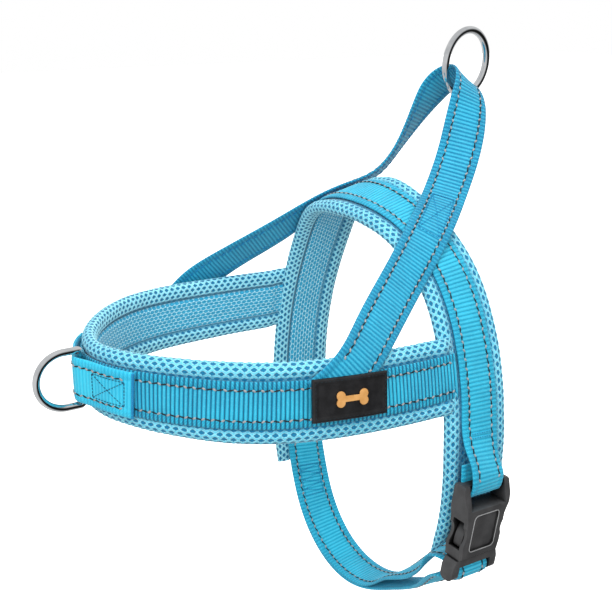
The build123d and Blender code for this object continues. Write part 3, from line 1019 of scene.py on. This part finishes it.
def panel_rim():
    """The fine pale bead round the socket's sunk panel: a painted highlight on the panel's edge."""
    origin, side, inward, up = buckle_axes()
    corner_steps, sides = 7, 8
    path = []
    for turn, (sign_u, sign_v) in enumerate(((1, 1), (-1, 1), (-1, -1), (1, -1))):
        for k in range(corner_steps):
            angle = (turn + k / (corner_steps - 1)) * math.pi / 2
            u = sign_u * (RIM_HALF_ACROSS - RIM_CORNER) + RIM_CORNER * math.cos(angle)
            v = RIM_MIDDLE + sign_v * (RIM_HALF_UP - RIM_CORNER) + RIM_CORNER * math.sin(angle)
            path.append((u, v))
    path = np.array(path)
    ahead = unit(np.roll(path, -1, axis=0) - np.roll(path, 1, axis=0))
    across = np.stack([ahead[:, 1], -ahead[:, 0]], axis=1)
    turns = np.arange(sides) * 2 * math.pi / sides
    flat = path[:, None, :] + across[:, None, :] * (RIM_RADIUS * np.cos(turns))[None, :, None]
    rise = np.broadcast_to((RIM_RADIUS * np.sin(turns))[None, :, None], flat.shape[:2] + (1,))
    points = origin + side * flat[..., :1] + up * flat[..., 1:] - inward * rise
    faces = []
    for i in range(len(path)):
        low, high = i * sides, (i + 1) % len(path) * sides
        for a in range(sides):
            b = (a + 1) % sides
            faces.append((low + a, low + b, high + b, high + a))
    faces_outward(new_piece("buckle_panel_highlight_bead", points, faces, PANEL_HIGHLIGHT_PLASTIC))


def rest_of_cad():
    """CAD nodes whose shape is right keep it, with soft edges and a finish of their own."""
    buckle = ("buckle_socket", "buckle_plug", "buckle_prong_front", "buckle_prong_rear")
    finishes = {name: PLASTIC for name in buckle}
    finishes |= {"leash_ring": CHROME, "chest_ring": CHROME, "label_emblem": TAN}
    for name, finish in finishes.items():
        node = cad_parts[name]
        node.data.materials.clear()
        node.data.materials.append(finish)
        node.modifiers.new("weld", "WELD").merge_threshold = WELD_GAP * MM
        if finish is not CHROME:
            edge = node.modifiers.new("edges", "BEVEL")
            edge.width = EDGE_ROUND * MM
            edge.segments = 3
            edge.limit_method = "ANGLE"
            edge.angle_limit = EDGE_ANGLE
        node.data.polygons.foreach_set("use_smooth", [True] * len(node.data.polygons))


# --- Camera, light and floor --------------------------------------------------------------

def camera():
    """Looks at the middle of the harness from ahead, on the dog's left."""
    azimuth, elevation = math.radians(CAMERA_AZIMUTH), math.radians(CAMERA_ELEVATION)
    level = math.cos(elevation)
    back = Vector((math.sin(azimuth) * level, -math.cos(azimuth) * level, math.sin(elevation)))
    data = bpy.data.cameras.new("camera")
    data.lens = CAMERA_LENS
    data.sensor_width = 36
    data.clip_start, data.clip_end = 0.05, 50
    made = bpy.data.objects.new("camera", data)
    made.location = (Vector(CAMERA_TARGET) + back * CAMERA_DISTANCE) * MM
    made.rotation_euler = (-back).to_track_quat("-Z", "Y").to_euler()
    bpy.context.scene.collection.objects.link(made)
    bpy.context.scene.camera = made


def soft_box(name, place, target, size, power):
    """A rectangular light that lights the cloth and doesn't show in the metal."""
    data = bpy.data.lights.new(name, "AREA")
    data.shape = "RECTANGLE"
    data.size, data.size_y = size
    data.energy = power
    made = bpy.data.objects.new(name, data)
    made.location = place
    made.rotation_euler = (Vector(target) - Vector(place)).to_track_quat("-Z", "Y").to_euler()
    made.visible_glossy = False
    bpy.context.scene.collection.objects.link(made)


def studio_world():
    """White to the camera, dimmer below, and a dark side for the metal to show."""
    world = bpy.data.worlds.new("studio")
    world.use_nodes = True
    tree = world.node_tree
    background = tree.nodes["Background"]
    background.inputs["Color"].default_value = (1, 1, 1, 1)

    def level(value, low, high, to_low, to_high):
        """A soft step of value from low to high."""
        made = tree.nodes.new("ShaderNodeMapRange")
        made.interpolation_type = "SMOOTHSTEP"
        for socket, entry in zip(made.inputs, (value, low, high, to_low, to_high)):
            if isinstance(entry, bpy.types.NodeSocket):
                tree.links.new(entry, socket)
            else:
                socket.default_value = entry
        return made.outputs[0]

    rays = tree.nodes.new("ShaderNodeLightPath").outputs
    heading = tree.nodes.new("ShaderNodeTexCoord").outputs["Generated"]
    toward = tree.nodes.new("ShaderNodeVectorMath")
    toward.operation = "DOT_PRODUCT"
    tree.links.new(heading, toward.inputs[0])
    toward.inputs[1].default_value = DARK_SIDE
    parts = tree.nodes.new("ShaderNodeSeparateXYZ")
    tree.links.new(heading, parts.inputs[0])
    sky = level(parts.outputs["Z"], -0.4, 0.4, *AMBIENT)
    room = level(toward.outputs["Value"], 0.5, 0.9, 0.72, 0.01)
    soft = level(rays["Is Glossy Ray"], 0.0, 1.0, sky, room)
    tree.links.new(level(rays["Is Camera Ray"], 0.0, 1.0, soft, 1.0), background.inputs["Strength"])
    bpy.context.scene.world = world
    bpy.context.scene.view_settings.view_transform = "Standard"


def studio_floor():
    """A white floor that neither tints the cloth nor shows in the metal."""
    mesh = bpy.data.meshes.new("floor")
    signs = ((-1, -1), (1, -1), (1, 1), (-1, 1))
    corners = [(x * FLOOR_HALF, y * FLOOR_HALF, FLOOR_LEVEL) for x, y in signs]
    mesh.from_pydata(corners, [], [(0, 1, 2, 3)])
    floor = bpy.data.objects.new("floor", mesh)
    bpy.context.scene.collection.objects.link(floor)
    look = Look("floor_paper", roughness=0.9)
    look.colour(look.mix(look.noise(8), linear("F6F6F6"), linear("FAFAFA")))
    look.shader.inputs["Emission Color"].default_value = (1, 1, 1, 1)
    look.shader.inputs["Emission Strength"].default_value = FLOOR_GLOW
    mesh.materials.append(look.material)
    floor.visible_glossy = False
    floor.visible_diffuse = False


chest_band()
girth_band()
handle()
belly()
ring_tab()
label()
label_stitches()
panel_rim()
rest_of_cad()
camera()
studio_world()
for box in SOFT_BOXES:
    soft_box(*box)
studio_floor()
